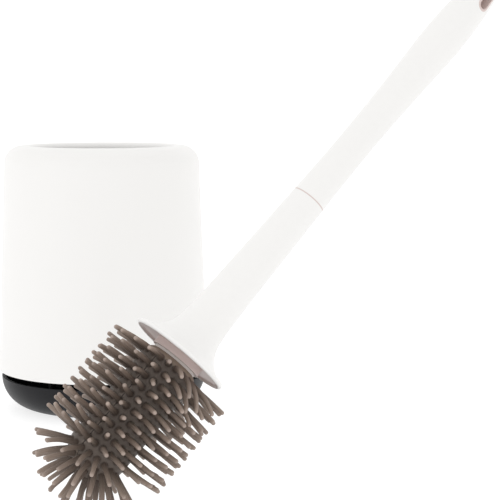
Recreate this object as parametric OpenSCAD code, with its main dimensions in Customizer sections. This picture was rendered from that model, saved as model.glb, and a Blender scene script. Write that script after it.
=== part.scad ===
// Toilet brush and its ventilated holder: a tapered cup on a drip tray, and a
// two-piece handle with a soft bristle head standing on the floor beside it.
// Origin: centre of the tray's foot pad, on the floor. +Z up, +X right, -Y front.

/* [Cup] */
// Outer radius of the cup at its bottom edge
cup_r = 65; // [62:0.5:70]
// Outer radius of the cup just below its shoulder
cup_top_r = 60.2; // [60:0.2:64]
// Height of the cup's top face above the floor
cup_top = 163; // [150:1:190]
// Height of the cup's bottom edge above the floor
cup_bottom = 24.6; // [24:0.1:27]
// Wall of the cup
cup_wall = 2.6; // [2:0.2:3]
// Radius of the rounded shoulder
shoulder_r = 11; // [8:0.5:13]
// Radius of the mouth
mouth_r = 43; // [40:0.5:45]
// Thickness of the perforated floor in the cup
floor_t = 2.4; // [2:0.2:3]
// Slots in each ring of the perforated floor
floor_slots = 12; // [8:1:14]

/* [Tray] */
// Radius of the tray at its lip
tray_r = 63.4; // [62.4:0.2:64.4]
// Height of the tray's lip above the floor
tray_lip = 20.7; // [18:0.1:21]
// Wall of the tray
tray_wall = 2; // [1.6:0.2:2.4]
// How far the foot pad stands out below the tray
pad_proud = 0.5; // [0.5:0.1:1]
// Radius of the foot pad
pad_r = 42; // [36:1:43]
// Ribs that carry the cup
ribs = 6; // [6:2:10]

/* [Brush head] */
// Radius over the bristle tips of the straight rings
tip_reach = 32; // [28:0.5:34]
// Reach of the bristle at the very end of the head
end_reach = 30; // [27:0.5:32]
// Radius of the sleeve that the bristles grow from
sleeve_r = 14.7; // [14:0.1:16]
// Straight rings of bristles
rings = 10; // [6:1:10]
// Distance from one ring to the next
ring_pitch = 5.5; // [5:0.05:5.5]
// Bristles in a straight ring
ring_count = 20; // [16:1:24]
// Radius of a bristle at its root
bristle_root = 1.3; // [1.1:0.1:1.4]
// Radius of a bristle at its tip
bristle_tip = 1; // [0.8:0.1:1.1]

/* [Handle] */
// Radius of the splash collar
collar_r = 25.5; // [24.5:0.5:27]
// Wall of the handle shells
shell_wall = 1.8; // [1.4:0.1:2]
// Radial clearance of the two screw studs in their sockets
thread_gap = 0.05; // [0.02:0.01:0.1]
// Length of the hanging eye, outside its liner
eye_length = 20; // [14:1:22]
// Width of the hanging eye, outside its liner
eye_width = 7; // [6:0.5:8]

/* [Brush placing] */
// Where the head stands, to the right of the holder's axis
brush_x = 21.5; // [0:0.5:60]
// Where the head stands, in front of the holder's axis
brush_front = 258; // [240:0.5:320]
// Lean of the brush away from the vertical
lean = 43.3; // [30:0.1:50]
// Heading of the lean, turned from +X towards +Y
heading = 23.2; // [10:0.1:35]

/* [Hidden] */
$fn = 96;
eps = 0.01;

white = [0.95, 0.945, 0.935];
black = [0.16, 0.16, 0.17];
taupe = [0.64, 0.56, 0.54];
brown = [0.45, 0.39, 0.35];
grey = [0.60, 0.56, 0.53];

// Holder
pad_t = pad_proud + 1;
tray_arc = tray_lip - pad_proud;
rib_t = 2.2;
rib_in = 34;
rib_out = 56;
rib_step = 3;
peg_r = 2.4;
peg_circle_r = 48;
peg_gap = 0.3;
peg_root = pad_proud + 1.6;
slot_out = [30, 54];
slot_in = [12, 23];
slot_width = 4;
lip_roll = 3.6;
lip_drop = 8;
ledge = 1.4;

// Brush axis, measured along the brush from the centre of the head's round end
first_ring = 0.9;
carrier_end = 46;
sleeve_top = 54;
bevel_w = sleeve_top - 3;
lip_w = sleeve_top - 1.4;
lip_r = sleeve_r - 0.9;
ring_top = 55;
joint_w = 55.3;
rim_w = 57.6;
rim_t = 2.4;
plate_w = 58.8;
plate_t = 0.6;
dish_w = 57.9;
dish_edge = 0.4;
dish_slope = 1.2;
hub_r = 17;
hub_t = 1.8;
seam_w = 156.2;
seam_t = 0.6;
grip_w = seam_w + seam_t;
swell_w = 263;
swell_r = 10.2;
handle_end = 317;
carrier_r = 11.5;
anchor_r = 12.7;
anchor_t = 2.5;
post_r = 9;
band_r = 11.9;
seat_r = 11.7;
neck_r = 13.3;
socket_r = 8.6;
head_stud_r = 6;
head_stud_end = 72;
coupler_r = 6.6;
flange_r = 8.75;
coupler_plug = 16;
stud_r = 4.8;
stud_length = 14;
eye_w = 285.5;
eye_heading = -78;
liner_wall = 1.1;
crown_rings = 4;
crown_step = 18;

// Outer skin of the flared shaft and of the grip, as [radius, distance along the brush]
shaft_skin = [[collar_r - rim_t / 2, rim_w + rim_t], [22.3, 60.4], [18.9, 62.3], [16.4, 64.4],
              [14.2, 67.4], [12.5, 71.3], [11.6, 76], [11, 83], [10.5, 96], [10, 112], [9.5, 131],
              [8.92, seam_w]];
grip_skin = [[8.84, grip_w], [8.6, 168], [8.38, 178], [8.26, 190], [8.34, 204], [8.66, 220],
             [9.2, 236], [9.8, 250], [10.08, 257], [swell_r, swell_w]];

// ---- Helpers ----

// Cubic curve through p1 and p2 that leaves room for its neighbours p0 and p3
function spline_point(p0, p1, p2, p3, t) =
    0.5 * (2 * p1 + t * (p2 - p0) + t * t * (2 * p0 - 5 * p1 + 4 * p2 - p3)
           + t * t * t * (3 * p1 - p0 - 3 * p2 + p3));

// Smooth outline through the points of a skin, drawn in towards the axis by an inset
function smooth_outline(skin, inset = 0, steps = 5) =
    let (last = len(skin) - 1)
        concat([for (i = [0 : last - 1], k = [0 : steps - 1])
                    spline_point(skin[max(i - 1, 0)], skin[i], skin[i + 1], skin[min(i + 2, last)],
                                 k / steps) - [inset, 0]],
               [skin[last] - [inset, 0]]);

// Reach of a bristle that points a given angle past the side, towards the end of the head
function reach(angle) = 1 / sqrt(pow(cos(angle) / tip_reach, 2) + pow(sin(angle) / end_reach, 2));

// Puts the brush, drawn along +Z from the centre of its round end, where it stands
module placed() {
    height = sqrt(pow(tip_reach * sin(lean), 2) + pow(end_reach * cos(lean), 2)) + 0.2;
    translate([brush_x, -brush_front, height])
        rotate([0, lean, heading])
            children();
}

// Quarter of a ring, between two radii, in the quadrant given by two signs
module quarter_ring(outer, inner, sx, sy) {
    intersection() {
        difference() {
            circle(r = outer);
            circle(r = inner);
        }
        translate([sx > 0 ? 0 : -outer, sy > 0 ? 0 : -outer])
            square(outer);
    }
}

// ---- Holder ----

// Half section of the bowl between a radius at the lip and the floor under it
module bowl_section(lip, arc) {
    intersection() {
        union() {
            translate([lip - arc, tray_lip])
                circle(r = arc);
            translate([0, tray_lip - arc])
                square([lip - arc, arc]);
        }
        square([lip, tray_lip]);
    }
}

// Radial rib under the cup: its foot runs into the bowl's wall, its step carries the cup
module rib() {
    root = pad_proud + tray_wall - 0.5;
    step_z = tray_lip - rib_step;
    intersection() {
        translate([rib_in, -rib_t / 2, root])
            cube([tray_r - rib_in, rib_t, step_z - root]);
        rotate_extrude()
            bowl_section(tray_r - tray_wall / 2, tray_arc - tray_wall / 2);
    }
    translate([rib_in, -rib_t / 2, step_z - 1])
        cube([rib_out - rib_in, rib_t, cup_bottom - step_z + 1]);
}

module base_tray() {
    color(black) {
        difference() {
            rotate_extrude()
                difference() {
                    bowl_section(tray_r, tray_arc);
                    translate([0, eps])
                        bowl_section(tray_r - tray_wall, tray_arc - tray_wall);
                }
            translate([0, 0, -eps])
                cylinder(r = pad_r, h = pad_t + eps);
        }
        for (i = [0 : ribs - 1])
            rotate([0, 0, i * 360 / ribs])
                rib();
        for (i = [0 : 2])
            rotate([0, 0, i * 120])
                translate([peg_circle_r, 0, peg_root])
                    cylinder(r = peg_r, h = cup_bottom + floor_t - peg_root, $fn = 48);
    }
}

module foot_pad() {
    color([0.09, 0.09, 0.1])
        cylinder(r = pad_r, h = pad_t);
}

// Slot with round ends, cut out of the cup's floor along a radius
module floor_slot(from, to, width) {
    translate([0, 0, cup_bottom - 1]) {
        for (x = [from, to])
            translate([x, 0, 0])
                cylinder(r = width / 2, h = floor_t + 2, $fn = 32);
        translate([from, -width / 2, 0])
            cube([to - from, width, floor_t + 2]);
    }
}

module cup_floor() {
    color(black)
        difference() {
            translate([0, 0, cup_bottom])
                cylinder(r = cup_r - cup_wall - 0.05, h = floor_t);
            for (i = [0 : floor_slots - 1]) {
                rotate([0, 0, (i + 0.5) * 360 / floor_slots])
                    floor_slot(slot_out[0], slot_out[1], slot_width);
                rotate([0, 0, i * 360 / floor_slots])
                    floor_slot(slot_in[0], slot_in[1], slot_width - 1);
            }
            for (i = [0 : 2])
                rotate([0, 0, i * 120])
                    translate([peg_circle_r, 0, cup_bottom - 1])
                        cylinder(r = peg_r + peg_gap, h = floor_t + 2, $fn = 48);
        }
}

module cup_section() {
    top_in = cup_top - cup_wall;
    shoulder_w = cup_top - shoulder_r;
    polygon([[cup_r - cup_wall, cup_bottom], [cup_r, cup_bottom],
             [cup_top_r, shoulder_w], [cup_top_r - cup_wall, shoulder_w]]);
    translate([cup_r - cup_wall - ledge, cup_bottom + floor_t])
        square([ledge + 1, ledge]);
    translate([cup_top_r - shoulder_r, shoulder_w])
        quarter_ring(shoulder_r, shoulder_r - cup_wall, 1, 1);
    translate([mouth_r + lip_roll, top_in])
        square([cup_top_r - shoulder_r - mouth_r - lip_roll, cup_wall]);
    translate([mouth_r + lip_roll, cup_top - lip_roll])
        quarter_ring(lip_roll, lip_roll - cup_wall, -1, 1);
    translate([mouth_r, cup_top - lip_drop])
        square([cup_wall, lip_drop - lip_roll]);
    translate([mouth_r + cup_wall / 2, cup_top - lip_drop])
        circle(r = cup_wall / 2, $fn = 32);
}

module cup_shell() {
    color(white)
        rotate_extrude($fn = 180)
            cup_section();
}

// ---- Brush head ----

// Hard core under the soft sleeve: a round-ended post with three anchor rings
module carrier_body() {
    cylinder(r = carrier_r, h = carrier_end);
    sphere(r = carrier_r);
    for (w = [10 : 14 : 38])
        translate([0, 0, w])
            cylinder(r = anchor_r, h = anchor_t);
    cylinder(r = post_r, h = sleeve_top);
}

module head_carrier() {
    color(grey)
        placed() {
            carrier_body();
            translate([0, 0, sleeve_top - eps])
                cylinder(r = band_r, h = ring_top - sleeve_top + eps);
            translate([0, 0, ring_top - eps])
                cylinder(r = seat_r, h = joint_w - ring_top + eps);
            translate([0, 0, joint_w - eps])
                cylinder(r = head_stud_r, h = head_stud_end - 1 - joint_w + eps);
            translate([0, 0, head_stud_end - 1])
                cylinder(r1 = head_stud_r, r2 = head_stud_r - 1, h = 1);
        }
}

// One bristle along +Z, from inside the sleeve to its round tip
module bristle(length) {
    root = sleeve_r - 1;
    cap = length - bristle_tip;
    rotate_extrude($fn = 32)
        intersection() {
            union() {
                polygon([[0, root], [bristle_root, root], [bristle_tip, cap], [0, cap]]);
                translate([0, cap])
                    circle(r = bristle_tip);
            }
            translate([0, root])
                square([bristle_root, length - root]);
        }
}

module straight_ring(w, offset) {
    for (k = [0 : ring_count - 1])
        translate([0, 0, w])
            rotate([0, 90, (k + offset) * 360 / ring_count])
                bristle(tip_reach);
}

// Ring of bristles that fan out over the round end, a given angle past the side
module crown_ring(angle, offset) {
    count = round(ring_count * cos(angle));
    for (k = [0 : count - 1])
        rotate([0, 90 + angle, (k + offset) * 360 / count])
            bristle(reach(angle));
}

module bristle_sleeve() {
    color(brown)
        placed()
            difference() {
                union() {
                    cylinder(r = sleeve_r, h = bevel_w);
                    sphere(r = sleeve_r);
                    translate([0, 0, bevel_w])
                        cylinder(r1 = sleeve_r, r2 = lip_r, h = lip_w - bevel_w);
                    translate([0, 0, lip_w])
                        cylinder(r1 = lip_r, r2 = band_r, h = sleeve_top - lip_w);
                    for (i = [0 : rings - 1])
                        straight_ring(first_ring + i * ring_pitch, (i % 2) / 2);
                    for (j = [1 : crown_rings])
                        crown_ring(j * crown_step, (j % 2) / 2);
                    rotate([0, 180, 0])
                        bristle(end_reach);
                }
                carrier_body();
            }
}

// ---- Shaft: the lower half of the handle ----

module collar_plate() {
    plate_r = collar_r - rim_t / 2;
    bore_end = head_stud_end + 2;
    color(taupe)
        placed()
            difference() {
                union() {
                    translate([0, 0, joint_w])
                        cylinder(r = neck_r, h = plate_w - joint_w + eps);
                    translate([0, 0, plate_w])
                        cylinder(r = plate_r, h = plate_t);
                    translate([0, 0, plate_w])
                        cylinder(r = hub_r, h = hub_t);
                    rotate_extrude()
                        polygon([[plate_r, dish_w], [plate_r, plate_w + 0.2],
                                 [plate_r - dish_edge - dish_slope, plate_w + 0.2],
                                 [plate_r - dish_edge - dish_slope, plate_w],
                                 [plate_r - dish_edge, dish_w]]);
                    translate([0, 0, plate_w])
                        cylinder(r = socket_r, h = bore_end + 2 - plate_w);
                }
                translate([0, 0, joint_w - 1])
                    cylinder(r = head_stud_r + thread_gap, h = bore_end - joint_w + 1);
            }
}

// Half section of the flared shaft, drawn in by an inset for its hollow
module shaft_section(inset) {
    polygon(concat([[0, rim_w + rim_t]], smooth_outline(shaft_skin, inset), [[0, seam_w]]));
}

module shaft_shell() {
    nose_r = rim_t / 2;
    hollow_w = plate_w + hub_t + 1;
    color(white)
        placed()
            difference() {
                rotate_extrude() {
                    shaft_section(0);
                    translate([0, rim_w])
                        square([collar_r - nose_r, rim_t + eps]);
                    translate([collar_r - nose_r, rim_w + nose_r])
                        circle(r = nose_r, $fn = 48);
                }
                intersection() {
                    rotate_extrude()
                        shaft_section(shell_wall);
                    translate([0, 0, hollow_w])
                        cylinder(r = collar_r, h = seam_w - coupler_plug - hollow_w);
                }
                translate([0, 0, rim_w - 1])
                    cylinder(r = collar_r - nose_r, h = plate_w + plate_t - rim_w + 1);
                translate([0, 0, rim_w])
                    cylinder(r = hub_r, h = hollow_w - rim_w + eps);
                translate([0, 0, seam_w - coupler_plug - eps])
                    cylinder(r = coupler_r, h = coupler_plug + 1);
            }
}

// ---- Coupler at the seam, and the grip ----

module coupler_stud() {
    color(taupe)
        placed() {
            translate([0, 0, seam_w - coupler_plug])
                cylinder(r = coupler_r, h = coupler_plug + eps);
            translate([0, 0, seam_w])
                cylinder(r = flange_r, h = seam_t);
            translate([0, 0, grip_w - eps])
                cylinder(r = stud_r, h = stud_length - 1 + eps);
            translate([0, 0, grip_w + stud_length - 1])
                cylinder(r1 = stud_r, r2 = stud_r - 1, h = 1);
        }
}

module coupler_socket() {
    color(grey)
        placed()
            translate([0, 0, grip_w])
                difference() {
                    cylinder(r = coupler_r, h = stud_length + 4);
                    translate([0, 0, -1])
                        cylinder(r = stud_r + thread_gap, h = stud_length + 2.5);
                }
}

// Half section of the grip with its round end, drawn in by an inset for its hollow
module grip_section(inset) {
    end_length = handle_end - swell_w;
    polygon(concat([[0, grip_w]], smooth_outline(grip_skin, inset),
                   [for (a = [6 : 6 : 84])
                       [(swell_r - inset) * cos(a), swell_w + (end_length - inset) * sin(a)]],
                   [[0, handle_end - inset]]));
}

module grip_solid() {
    rotate_extrude()
        grip_section(0);
}

// Prism with round ends that runs through the handle at the eye
module eye_prism(width, length) {
    rotate([0, 90, eye_heading])
        translate([-(eye_w + eye_length / 2), 0, -20]) {
            for (x = [-1, 1])
                translate([x * (length - width) / 2, 0, 0])
                    cylinder(r = width / 2, h = 40, $fn = 64);
            translate([-(length - width) / 2, -width / 2, 0])
                cube([length - width, width, 40]);
        }
}

module grip_shell() {
    color(white)
        placed()
            difference() {
                grip_solid();
                intersection() {
                    rotate_extrude()
                        grip_section(shell_wall);
                    cylinder(r = 15, h = eye_w - 6);
                }
                translate([0, 0, grip_w - 1])
                    cylinder(r = coupler_r, h = stud_length + 5);
                eye_prism(eye_width, eye_length);
            }
}

module eye_liner() {
    color(taupe)
        placed()
            intersection() {
                difference() {
                    eye_prism(eye_width, eye_length);
                    eye_prism(eye_width - 2 * liner_wall, eye_length - 2 * liner_wall);
                }
                grip_solid();
            }
}

base_tray();
foot_pad();
cup_floor();
cup_shell();
head_carrier();
bristle_sleeve();
collar_plate();
shaft_shell();
coupler_stud();
coupler_socket();
grip_shell();
eye_liner();
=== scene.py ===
import math
import random

import bpy
from mathutils import Matrix, Vector
from mathutils.kdtree import KDTree


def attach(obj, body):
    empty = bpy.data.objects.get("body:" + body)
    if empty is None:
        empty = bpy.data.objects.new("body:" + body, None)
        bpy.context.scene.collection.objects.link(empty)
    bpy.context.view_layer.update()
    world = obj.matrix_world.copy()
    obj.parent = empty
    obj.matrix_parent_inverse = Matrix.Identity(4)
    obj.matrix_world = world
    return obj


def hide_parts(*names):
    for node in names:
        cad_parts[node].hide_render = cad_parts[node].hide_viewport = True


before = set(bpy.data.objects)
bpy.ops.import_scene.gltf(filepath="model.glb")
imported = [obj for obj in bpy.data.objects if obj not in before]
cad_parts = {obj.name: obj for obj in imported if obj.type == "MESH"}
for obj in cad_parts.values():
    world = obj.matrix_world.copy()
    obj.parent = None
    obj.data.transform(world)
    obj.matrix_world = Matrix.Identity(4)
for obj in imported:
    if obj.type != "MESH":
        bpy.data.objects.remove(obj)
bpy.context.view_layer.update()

MM = 0.001

# ---------------------------------------------------------------------------
# Where the brush stands: the same placing and sizes as the CAD source
# ---------------------------------------------------------------------------
TIP_REACH = 32.0
END_REACH = 30.0
SLEEVE_R = 14.7
SLEEVE_TOP = 54.0
RING_TOP_R = 11.9
RINGS = 10
RING_PITCH = 5.5
RING_COUNT = 20
FIRST_RING = 0.9
CROWN_RINGS = 4
CROWN_STEP = math.radians(18.0)
ROOT_R = 1.34
TIP_R = 1.0
LEAN = math.radians(43.3)
HEADING = math.radians(23.2)
STAND = (21.5, -258.0)
CLEARANCE = 0.2

# ---------------------------------------------------------------------------
# The soft sleeve (mm, degrees)
# ---------------------------------------------------------------------------
PARTING = 216.0         # heading of the mould's front parting line; the other one is opposite
PARTING_FINE = 3.4      # half width of the strip with closer columns along a parting line
GROOVE = (0.34, 0.75)   # depth and half width of a parting line
SHOULDER = (0.16, 1.9, 0.9)  # height, offset and half width of its raised shoulders
PIT_R = 2.6             # radius of the pit round a bristle's root
SWELL = 0.62            # from the bottom of a pit to the top of the swelling beside it
SWELL_ZERO = 0.62       # share of the swelling that lies below the CAD sleeve's skin
LIP_Z = SLEEVE_TOP - 3.4  # height at which the straight skin ends and the rounded lip begins
SMOOTH_FROM = SLEEVE_TOP - 2.6  # height above which the skin is smooth
SMOOTH_OVER = 1.4       # height over which the swellings fade out below it
SWELL_PAINTED_TONE = 0.8        # painted tone of a swelling; the smooth lip has 1, its own colour, and a pit, in the deepest painted shade, has 0
GROOVE_PAINTED_SHADE = 2.6       # painted shade: how much a parting line's groove is painted darker, per mm of its depth
SHOULDER_PAINTED_HIGHLIGHT = 0.5     # painted highlight: how much its shoulders are painted lighter, per mm of their height
POLE_DROP = 0.1         # how much lower the round end's closing point lies, under the last bristle
POLE_TONE = 0.5
INNER_TONE = 0.3        # tone of the hidden inner wall, painted dark as painted shade
EVEN_SHADE = 0.5
WALL_R = 12.9           # inner wall of the sleeve, round the core
SEAT_R = 9.3            # inner wall of the sleeve, where the core's post is thinner
SEAT_Z = 46.3

# ---------------------------------------------------------------------------
# The bristles (mm)
# ---------------------------------------------------------------------------
SEED = 11
SHADES = (0.25, 0.75)   # spread of the brightness draw, round the even shade of 0.5
BRISTLE_SIDES = 14
BRISTLE_STEPS = 14
DOME_STEPS = 5
ROOT_SUNK = 0.7         # how deep a bristle starts inside the sleeve
ROOT_FLARE = (0.55, 13)  # extra radius at the root, and how fast it fades
BEND_POWER = 2.1        # a bristle bends little at its root and most near its tip
DRAW_BACK = 2.2         # a bent tip draws back by the square of its bend over this many lengths
ASIDE = Vector((0.31, 0.52, 0.79))  # any direction that no bristle points in
STALK_PAINTED_SHADING = (0.02, 0.95)  # tone at the root and where the dome of the tip begins: painted shade at the root, painted light towards the tip
SAG = (1.6, 2.9)        # droop of a tip under its own weight
WANDER = 1.2            # how far a tip strays by chance
HOOK = 0.25             # bow of a bristle between its root and its tip
LOW_RISE = (2.6, 3.2)   # bend towards the collar in the lowest ring, on its two sides
LONGER = (0.7, 1.9)     # extra reach of the straight rings, and more of it on the side towards the lean
BRUSHED_AT = -66.0      # heading (degrees) of the patch under the collar that is brushed down
BRUSHED_WIDTH = 24.0
BRUSHED_RINGS = (0.35, 0.65, 1.0)  # how strongly in the three top rings, upwards
BRUSHED_SPREAD = (0.75, 1.15)
BRUSHED_WAY = Vector((-0.25, 0.1, -1.0))
BRUSHED_BEND = 8.5
FLOOR_REACH = 1.4       # a tip lower than this above the floor isn't bent, and hooks less
FLOOR_HOOK = 0.3


def brush_matrix():
    """From brush coordinates (mm, +Z up the handle from the centre of the round end) to the frame."""
    height = math.hypot(TIP_REACH * math.sin(LEAN), END_REACH * math.cos(LEAN)) + CLEARANCE
    turn = Matrix.Rotation(HEADING, 4, "Z") @ Matrix.Rotation(LEAN, 4, "Y")
    return Matrix.Scale(MM, 4) @ Matrix.Translation((STAND[0], STAND[1], height)) @ turn


BRUSH = brush_matrix()


# ---------------------------------------------------------------------------
# Mesh helpers
# ---------------------------------------------------------------------------
class Shell:
    """Vertices, faces and a few per-vertex numbers, gathered before they become one mesh."""

    def __init__(self):
        self.points = []
        self.faces = []
        self.along = []
        self.shade = []
        self.skin = []

    def add(self, point, along, shade, skin=0.0):
        self.points.append(point)
        self.along.append(along)
        self.shade.append(shade)
        self.skin.append(skin)
        return len(self.points) - 1

    def ring(self, centre, side, up, radius, count, along, shade):
        first = len(self.points)
        for i in range(count):
            a = 2 * math.pi * i / count
            self.add(centre + side * (radius * math.cos(a)) + up * (radius * math.sin(a)), along, shade)
        return first

    def join(self, first, second, count):
        for i in range(count):
            j = (i + 1) % count
            self.faces.append((first + i, first + j, second + j, second + i))

    def fan(self, first, count, tip, flip=False):
        for i in range(count):
            j = (i + 1) % count
            self.faces.append((first + j, first + i, tip) if flip else (first + i, first + j, tip))

    def build(self, name, matrix):
        mesh = bpy.data.meshes.new(name)
        mesh.from_pydata([matrix @ Vector(p) for p in self.points], [], self.faces)
        for key, values in (("along", self.along), ("shade", self.shade), ("skin", self.skin)):
            layer = mesh.attributes.new(key, "FLOAT", "POINT")
            layer.data.foreach_set("value", values)
        mesh.polygons.foreach_set("use_smooth", [True] * len(mesh.polygons))
        mesh.update()
        obj = bpy.data.objects.new(name, mesh)
        bpy.context.scene.collection.objects.link(obj)
        return obj


# ---------------------------------------------------------------------------
# The soft head: a sleeve with a round end, and its bristles
# ---------------------------------------------------------------------------
def sleeve_profile():
    """Outline of the sleeve from its round end to the lip under the collar, as (radius, height)."""
    round_steps, straight_steps = 34, 68
    angles = [math.radians(89.0 - 89.0 * i / round_steps) for i in range(round_steps + 1)]
    line = [(SLEEVE_R * math.cos(a), -SLEEVE_R * math.sin(a)) for a in angles]
    line += [(SLEEVE_R, LIP_Z * i / straight_steps) for i in range(1, straight_steps + 1)]
    side, mouth, top = SLEEVE_R, RING_TOP_R, SLEEVE_TOP
    line += [(side, top - 3.0), (side - 0.25, top - 2.2), (side - 0.9, top - 1.4)]
    line += [(mouth + 0.9, top - 0.5), (mouth + 0.3, top - 0.1), (mouth - 0.1, top)]
    return line


def angle_between(a, b):
    """Smallest angle (degrees) between two headings."""
    return abs((a - b + 180.0) % 360.0 - 180.0)


def sleeve_angles():
    """Angles round the sleeve, closer together where the mould's two parting lines run."""
    columns, fine = 150, (-2.6, -1.5, -0.8, 0.0, 0.8, 1.5, 2.6)
    seams = (PARTING, PARTING + 180.0)
    angles = [360.0 / columns * i for i in range(columns)]
    angles = [a for a in angles if all(angle_between(a, s) > PARTING_FINE for s in seams)]
    angles += [(s + d) % 360.0 for s in seams for d in fine]
    return [math.radians(a) for a in sorted(angles)]


def swelling(point, roots):
    """0 in the pit round a bristle's root, 1 on the soft swelling between the bristles."""
    distance = roots.find(point)[2]
    return 0.5 - 0.5 * math.cos(math.pi * min(distance / PIT_R, 1.0))


def parting_groove(angle):
    """Depth (mm) of the parting line at an angle round the sleeve: a thin groove with raised shoulders."""
    off = min(angle_between(math.degrees(angle), s) for s in (PARTING, PARTING + 180.0))
    line = GROOVE[0] * math.exp(-(off / GROOVE[1]) ** 2)
    return line - SHOULDER[0] * math.exp(-((off - SHOULDER[1]) / SHOULDER[2]) ** 2)


def add_sleeve(shell):
    """The sleeve's skin with its pits, swellings and parting lines, painted darkest in the pits as painted
    shade, and its inner wall round the core.
    """
    x, y, z = Vector((1, 0, 0)), Vector((0, 1, 0)), Vector((0, 0, 1))
    seats = bristle_seats()
    roots = KDTree(len(seats))
    for i, (root, out, _, _) in enumerate(seats):
        roots.insert(root + out * SLEEVE_R, i)
    roots.balance()
    angles = sleeve_angles()
    count = len(angles)
    previous = None
    for radius, height in sleeve_profile():
        first = len(shell.points)
        for a in angles:
            out = x * math.cos(a) + y * math.sin(a)
            point = out * radius + z * height
            fade = min(max((SMOOTH_FROM - height) / SMOOTH_OVER, 0.0), 1.0)
            rise = swelling(point, roots)
            groove = parting_groove(a) * min(radius / SLEEVE_R, 1.0)
            normal = out if height > 0 else (out * radius + z * height).normalized()
            # Painted shade in the groove of a parting line, and a painted highlight on its raised shoulders.
            lines = GROOVE_PAINTED_SHADE * max(groove, 0.0) + SHOULDER_PAINTED_HIGHLIGHT * min(groove, 0.0)
            # Painted shade: among the bristles the skin is painted darkest in the pits and lighter on the
            # swellings; only the smooth lip keeps the rubber's own colour.
            tone = SWELL_PAINTED_TONE * rise * fade + (1.0 - fade) - lines * fade
            shell.add(point + normal * ((rise - SWELL_ZERO) * SWELL - groove) * fade, tone, EVEN_SHADE, 1.0)
        if previous is None:
            tip = shell.add(z * (-SLEEVE_R - POLE_DROP), POLE_TONE, EVEN_SHADE, 1.0)
            shell.fan(first, count, tip, flip=True)
        else:
            shell.join(previous, first, count)
        previous = first
    inside = [(SEAT_R, SLEEVE_TOP), (SEAT_R, SEAT_Z), (WALL_R, SEAT_Z), (WALL_R, 0.0)]
    steps = 8
    bends = [math.radians(90 * i / steps) for i in range(1, steps)]
    inside += [(WALL_R * math.cos(a), -WALL_R * math.sin(a)) for a in bends]
    for radius, height in inside:
        first = len(shell.points)
        for a in angles:
            point = (x * math.cos(a) + y * math.sin(a)) * radius + z * height
            shell.add(point, INNER_TONE, EVEN_SHADE, 1.0)
        shell.join(previous, first, count)
        previous = first
    end = shell.add(z * -WALL_R, INNER_TONE, EVEN_SHADE, 1.0)
    shell.fan(previous, count, end)


def bristle_seats():
    """(root on the axis, outward direction, reach, ring) of every bristle, in the order of the CAD source.

    Straight rings count up from 0 at the round end, the rings over the round end count down from -1.
    """
    seats = []
    for i in range(RINGS):
        for k in range(RING_COUNT):
            a = 2 * math.pi * (k + (i % 2) / 2) / RING_COUNT
            out = Vector((math.cos(a), math.sin(a), 0))
            seats.append((Vector((0, 0, FIRST_RING + i * RING_PITCH)), out, TIP_REACH, i))
    for j in range(1, CROWN_RINGS + 1):
        t = j * CROWN_STEP
        count = round(RING_COUNT * math.cos(t))
        reach = 1 / math.hypot(math.cos(t) / TIP_REACH, math.sin(t) / END_REACH)
        for k in range(count):
            a = 2 * math.pi * (k + (j % 2) / 2) / count
            out = Vector((math.cos(t) * math.cos(a), math.cos(t) * math.sin(a), -math.sin(t)))
            seats.append((Vector((0, 0, 0)), out, reach, -j))
    seats.append((Vector((0, 0, 0)), Vector((0, 0, -1)), END_REACH, -CROWN_RINGS - 1))
    return seats


def add_bristle(shell, root, out, reach, bend, hook, shade):
    """One bristle that leaves the sleeve along out and bends sideways by bend at its tip."""
    sides, steps = BRISTLE_SIDES, BRISTLE_STEPS
    start = SLEEVE_R - ROOT_SUNK
    length = reach - start - TIP_R
    drop = bend.length_squared / (DRAW_BACK * length)
    side = out.cross(ASIDE).normalized()
    ring = None
    points = []
    for n in range(steps + 1):
        t = n / steps
        straight = root + out * (start + (length - drop) * t)
        points.append(straight + bend * (t ** BEND_POWER) + hook * math.sin(math.pi * t))
    for n, centre in enumerate(points):
        t = n / steps
        along = points[min(n + 1, steps)] - points[max(n - 1, 0)]
        along.normalize()
        side = (side - along * side.dot(along)).normalized()
        up = along.cross(side)
        radius = ROOT_R + (TIP_R - ROOT_R) * t + ROOT_FLARE[0] * math.exp(-t * ROOT_FLARE[1])
        # Painted shade and light: the stalk is painted darker towards its root, among the other bristles,
        # and paler towards its tip.
        tone = STALK_PAINTED_SHADING[0] + (STALK_PAINTED_SHADING[1] - STALK_PAINTED_SHADING[0]) * t
        first = shell.ring(centre, side, up, radius, sides, tone, shade)
        if ring is None:
            foot = shell.add(centre, 0.0, shade)
            shell.fan(first, sides, foot, flip=True)
        else:
            shell.join(ring, first, sides)
        ring = first
    tip_along = (points[-1] - points[-2]).normalized()
    for n in range(1, DOME_STEPS):
        a = math.pi / 2 * n / DOME_STEPS
        centre = points[-1] + tip_along * (TIP_R * math.sin(a))
        # Painted highlight: the round dome of the tip is painted palest.
        tone = STALK_PAINTED_SHADING[1] + (1.0 - STALK_PAINTED_SHADING[1]) * math.sin(a)
        first = shell.ring(centre, side, up, TIP_R * math.cos(a), sides, tone, shade)
        shell.join(ring, first, sides)
        ring = first
    tip = shell.add(points[-1] + tip_along * TIP_R, 1.0, shade)
    shell.fan(ring, sides, tip)


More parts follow.
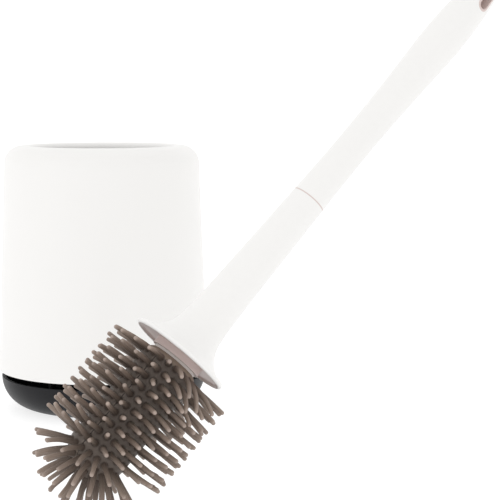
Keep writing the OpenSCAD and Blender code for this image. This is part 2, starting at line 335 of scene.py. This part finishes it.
def add_bristles(shell):
    """Every bristle, drooping under its own weight, and at the top of the front brushed out of line."""
    rng = random.Random(SEED)
    down = (BRUSH.to_3x3().inverted() @ Vector((0, 0, -1))).normalized()
    for root, out, reach, ring in bristle_seats():
        wander = Vector((rng.uniform(-1, 1), rng.uniform(-1, 1), rng.uniform(-1, 1)))
        wander -= out * wander.dot(out)
        sag = down - out * down.dot(out)
        bend = sag * rng.uniform(*SAG) + wander * WANDER
        hook = wander.cross(out) * HOOK
        low = 1.0 - max(ring, 0) / (RINGS - 1)
        if ring >= 0:
            bend.z += low * (LOW_RISE[0] * max(-out.x, 0.0) + LOW_RISE[1] * max(out.x, 0.0))
            reach += LONGER[0] + LONGER[1] * max(out.x, 0.0)
        heading = math.degrees(math.atan2(out.y, out.x))
        brushed = math.exp(-((heading - BRUSHED_AT) / BRUSHED_WIDTH) ** 2)
        from_top = RINGS - 1 - ring
        if from_top < len(BRUSHED_RINGS):
            curl = brushed * BRUSHED_RINGS[-1 - from_top] * rng.uniform(*BRUSHED_SPREAD)
            bend += BRUSHED_WAY * BRUSHED_BEND * curl
        tip = BRUSH @ (root + out * (reach - TIP_R) + bend)
        if tip.z < FLOOR_REACH * MM:
            bend *= 0.0
            hook *= FLOOR_HOOK
        add_bristle(shell, root, out, reach, bend, hook, rng.uniform(*SHADES))


def soft_head():
    """The sleeve and its bristles as one mesh, like the one soft moulding that it is."""
    shell = Shell()
    add_sleeve(shell)
    add_bristles(shell)
    return shell.build("soft_head", BRUSH)


# ---------------------------------------------------------------------------
# Materials
# ---------------------------------------------------------------------------
class Look:
    """A node material under construction, with short helpers for the nodes that every finish here uses."""

    def __init__(self, name):
        self.material = bpy.data.materials.new(name)
        self.material.use_nodes = True
        self.tree = self.material.node_tree
        self.tree.nodes.clear()
        self.shader = self.tree.nodes.new("ShaderNodeBsdfPrincipled")
        out = self.tree.nodes.new("ShaderNodeOutputMaterial")
        self.link(self.shader.outputs["BSDF"], out.inputs["Surface"])
        self.place = self.tree.nodes.new("ShaderNodeTexCoord").outputs["Object"]

    def link(self, a, b):
        self.tree.links.new(a, b)

    def noise(self, scale, detail=3.0, stretch=None):
        node = self.tree.nodes.new("ShaderNodeTexNoise")
        node.inputs["Scale"].default_value = scale
        node.inputs["Detail"].default_value = detail
        place = self.place
        if stretch is not None:
            mapping = self.tree.nodes.new("ShaderNodeMapping")
            mapping.inputs["Scale"].default_value = stretch
            self.link(self.place, mapping.inputs["Vector"])
            place = mapping.outputs["Vector"]
        self.link(place, node.inputs["Vector"])
        return node.outputs["Fac"]

    def ramp(self, value, stops):
        node = self.tree.nodes.new("ShaderNodeValToRGB")
        elements = node.color_ramp.elements
        while len(elements) < len(stops):
            elements.new(0.5)
        for element, (position, colour) in zip(elements, stops):
            element.position = position
            element.color = (*colour, 1.0)
        self.link(value, node.inputs["Fac"])
        return node.outputs["Color"]

    def span(self, value, low, high, from_low=0.3, from_high=0.7):
        node = self.tree.nodes.new("ShaderNodeMapRange")
        limits = {"From Min": from_low, "From Max": from_high, "To Min": low, "To Max": high}
        for key, number in limits.items():
            node.inputs[key].default_value = number
        self.link(value, node.inputs["Value"])
        return node.outputs["Result"]

    def mix(self, factor, a, b, mode="MIX"):
        node = self.tree.nodes.new("ShaderNodeMix")
        node.data_type = "RGBA"
        node.blend_type = mode
        for socket, value in ((node.inputs[0], factor), (node.inputs[6], a), (node.inputs[7], b)):
            if isinstance(value, bpy.types.NodeSocket):
                self.link(value, socket)
            else:
                socket.default_value = value if isinstance(value, float) else (*value, 1.0)
        return node.outputs[2]

    def attribute(self, name):
        node = self.tree.nodes.new("ShaderNodeAttribute")
        node.attribute_name = name
        return node.outputs["Fac"]

    def grey(self, value):
        """A number as a grey colour, so that it can multiply one."""
        node = self.tree.nodes.new("ShaderNodeCombineColor")
        for key in ("Red", "Green", "Blue"):
            self.link(value, node.inputs[key])
        return node.outputs["Color"]

    def bump(self, value, strength, distance, below=None):
        node = self.tree.nodes.new("ShaderNodeBump")
        node.inputs["Strength"].default_value = strength
        node.inputs["Distance"].default_value = distance
        self.link(value, node.inputs["Height"])
        if below is not None:
            self.link(below, node.inputs["Normal"])
        return node.outputs["Normal"]

    def finish(self, colour, roughness, normal, **constants):
        self.link(colour, self.shader.inputs["Base Color"])
        self.link(roughness, self.shader.inputs["Roughness"])
        self.link(normal, self.shader.inputs["Normal"])
        for key, value in constants.items():
            self.shader.inputs[key.replace("_", " ")].default_value = value
        return self.material


def moulded_plastic(name, light, dark, rough, grain, grain_depth, ior=1.42):
    """Injection-moulded plastic: faint flow marks in the colour, uneven gloss, fine spark-eroded grain."""
    look = Look(name)
    flow = look.noise(9.0, 4.0, stretch=(1.0, 1.0, 0.35))
    colour = look.ramp(flow, [(0.32, dark), (0.68, light)])
    gloss = look.span(look.noise(38.0, 5.0), rough - 0.04, rough + 0.05)
    fine = look.bump(look.noise(grain, 2.0), 0.35, grain_depth)
    wavy = look.bump(look.noise(55.0, 1.0), 0.12, 0.0004, below=fine)
    return look.finish(colour, gloss, wavy, IOR=ior)


def bristle_rubber(name):
    """Soft thermoplastic rubber, with painted shade that darkens it between the roots and painted light that
    makes it pale at the tips.
    """
    look = Look(name)
    # The stalk runs from painted shade at its root to painted light and a painted highlight at its tip.
    stalk = look.ramp(look.attribute("along"), [(0.0, (0.098, 0.074, 0.060)), (0.16, (0.140, 0.107, 0.087)),
                                                (0.55, (0.215, 0.165, 0.134)), (0.88, (0.260, 0.199, 0.162)),
                                                (0.97, (0.315, 0.246, 0.206)), (1.0, (0.350, 0.277, 0.236))])
    # The skin runs from painted shade in the pits, through the painted-lighter swellings, to the lip's own
    # colour at 1.
    skin = look.ramp(look.attribute("along"), [(0.0, (0.028, 0.020, 0.016)), (0.35, (0.048, 0.036, 0.028)),
                                               (0.80, (0.108, 0.083, 0.067)), (1.0, (0.290, 0.230, 0.182))])
    colour = look.mix(look.attribute("skin"), stalk, skin)
    tone = look.span(look.attribute("shade"), 0.90, 1.12, 0.25, 0.75)
    cloudy = look.span(look.noise(160.0, 4.0), 0.93, 1.07)
    toned = look.mix(1.0, colour, look.grey(tone), "MULTIPLY")
    toned = look.mix(1.0, toned, look.grey(cloudy), "MULTIPLY")
    gloss = look.span(look.noise(420.0, 3.0), 0.42, 0.58)
    pores = look.bump(look.noise(2600.0, 2.0), 0.30, 0.00006)
    return look.finish(toned, gloss, pores, IOR=1.45)


def pad_rubber(name):
    """Matt, finely pored rubber of the non-slip pad."""
    look = Look(name)
    colour = look.ramp(look.noise(120.0, 5.0), [(0.3, (0.016, 0.016, 0.018)), (0.7, (0.028, 0.028, 0.030))])
    gloss = look.span(look.noise(300.0, 4.0), 0.70, 0.86)
    skin = look.bump(look.noise(1500.0, 3.0), 0.5, 0.00015)
    return look.finish(colour, gloss, skin, IOR=1.5)


def paint(names, material):
    """Gives the CAD nodes of these names one material."""
    for name in names:
        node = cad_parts[name]
        node.data.materials.clear()
        node.data.materials.append(material)


def make_looks():
    white = moulded_plastic("white_plastic", light=(0.852, 0.843, 0.828), dark=(0.838, 0.828, 0.812),
                            rough=0.36, grain=1700.0, grain_depth=0.00004)
    black = moulded_plastic("black_plastic", light=(0.013, 0.013, 0.015), dark=(0.010, 0.010, 0.011),
                            rough=0.42, grain=1300.0, grain_depth=0.00008, ior=1.27)
    taupe = moulded_plastic("taupe_plastic", light=(0.670, 0.560, 0.530), dark=(0.640, 0.530, 0.500),
                            rough=0.34, grain=1500.0, grain_depth=0.00006)
    core = moulded_plastic("core_plastic", light=(0.640, 0.595, 0.565), dark=(0.600, 0.556, 0.528),
                           rough=0.40, grain=1500.0, grain_depth=0.00006)
    paint(["cup_shell", "shaft_shell", "grip_shell"], white)
    paint(["base_tray", "cup_floor"], black)
    paint(["collar_plate", "coupler_stud", "eye_liner"], taupe)
    paint(["head_carrier", "coupler_socket"], core)
    paint(["foot_pad"], pad_rubber("pad_rubber"))


# ---------------------------------------------------------------------------
# Floor, light and camera
# ---------------------------------------------------------------------------
WORLD_STRENGTH = 1.0
FLOOR_GLOW = 0.78
CAMERA_PLACE = (0.0918, -0.9830, 0.2022)
CAMERA_DOWN = 6.07      # degrees below the horizon
CAMERA_LENS = 114.02


def studio_floor():
    """A pale floor that sweeps up into a backdrop far behind the object."""
    half, near, bend_y, bend_r, top = 6.0, -6.0, 2.5, 1.5, 4.0
    steps = 16
    line = [(near, 0.0), (bend_y, 0.0)]
    for i in range(1, steps + 1):
        a = math.radians(90 * i / steps)
        line.append((bend_y + bend_r * math.sin(a), bend_r * (1 - math.cos(a))))
    line.append((bend_y + bend_r, top))
    points, faces = [], []
    for y, z in line:
        points += [(-half, y, z), (half, y, z)]
    for i in range(len(line) - 1):
        faces.append((2 * i, 2 * i + 1, 2 * i + 3, 2 * i + 2))
    mesh = bpy.data.meshes.new("studio_floor")
    mesh.from_pydata(points, [], faces)
    mesh.polygons.foreach_set("use_smooth", [True] * len(mesh.polygons))
    floor = bpy.data.objects.new("studio_floor", mesh)
    bpy.context.scene.collection.objects.link(floor)
    look = Look("pale_floor")
    colour = look.ramp(look.noise(3.0, 3.0), [(0.3, (0.30, 0.30, 0.30)), (0.7, (0.32, 0.32, 0.32))])
    gloss = look.span(look.noise(20.0, 3.0), 0.60, 0.70)
    skin = look.bump(look.noise(400.0, 2.0), 0.05, 0.0001)
    look.shader.inputs["Emission Color"].default_value = (1.0, 1.0, 1.0, 1.0)
    mesh.materials.append(look.finish(colour, gloss, skin, Emission_Strength=FLOOR_GLOW))


def area_light(name, place, aim, size, power):
    data = bpy.data.lights.new(name, "AREA")
    data.shape = "RECTANGLE"
    data.size, data.size_y = size
    data.energy = power
    light = bpy.data.objects.new(name, data)
    light.location = place
    light.rotation_euler = (Vector(aim) - Vector(place)).to_track_quat("-Z", "Y").to_euler()
    bpy.context.scene.collection.objects.link(light)


def studio_light():
    scene = bpy.context.scene
    scene.view_settings.view_transform = "Standard"
    scene.view_settings.look = "None"
    world = bpy.data.worlds.new("studio")
    world.use_nodes = True
    background = world.node_tree.nodes["Background"]
    background.inputs["Color"].default_value = (1.0, 1.0, 1.0, 1.0)
    background.inputs["Strength"].default_value = WORLD_STRENGTH
    scene.world = world
    area_light("top_softbox", (0.05, 0.1, 1.5), (0.05, 0.0, 0.1), (1.2, 1.2), 0.6)
    area_light("left_softbox", (-0.75, -0.75, 0.5), (0.0, 0.0, 0.1), (0.7, 0.7), 0.75)


def studio_camera():
    data = bpy.data.cameras.new("camera")
    data.sensor_width = 36.0
    data.lens = CAMERA_LENS
    data.clip_start, data.clip_end = 0.01, 50.0
    camera = bpy.data.objects.new("camera", data)
    camera.location = CAMERA_PLACE
    camera.rotation_euler = (math.radians(90.0 - CAMERA_DOWN), 0.0, 0.0)
    bpy.context.scene.collection.objects.link(camera)
    bpy.context.scene.camera = camera


head = soft_head()
head.data.materials.append(bristle_rubber("bristle_rubber"))
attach(head, "brush_head")
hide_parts("bristle_sleeve")
make_looks()
studio_floor()
studio_light()
studio_camera()
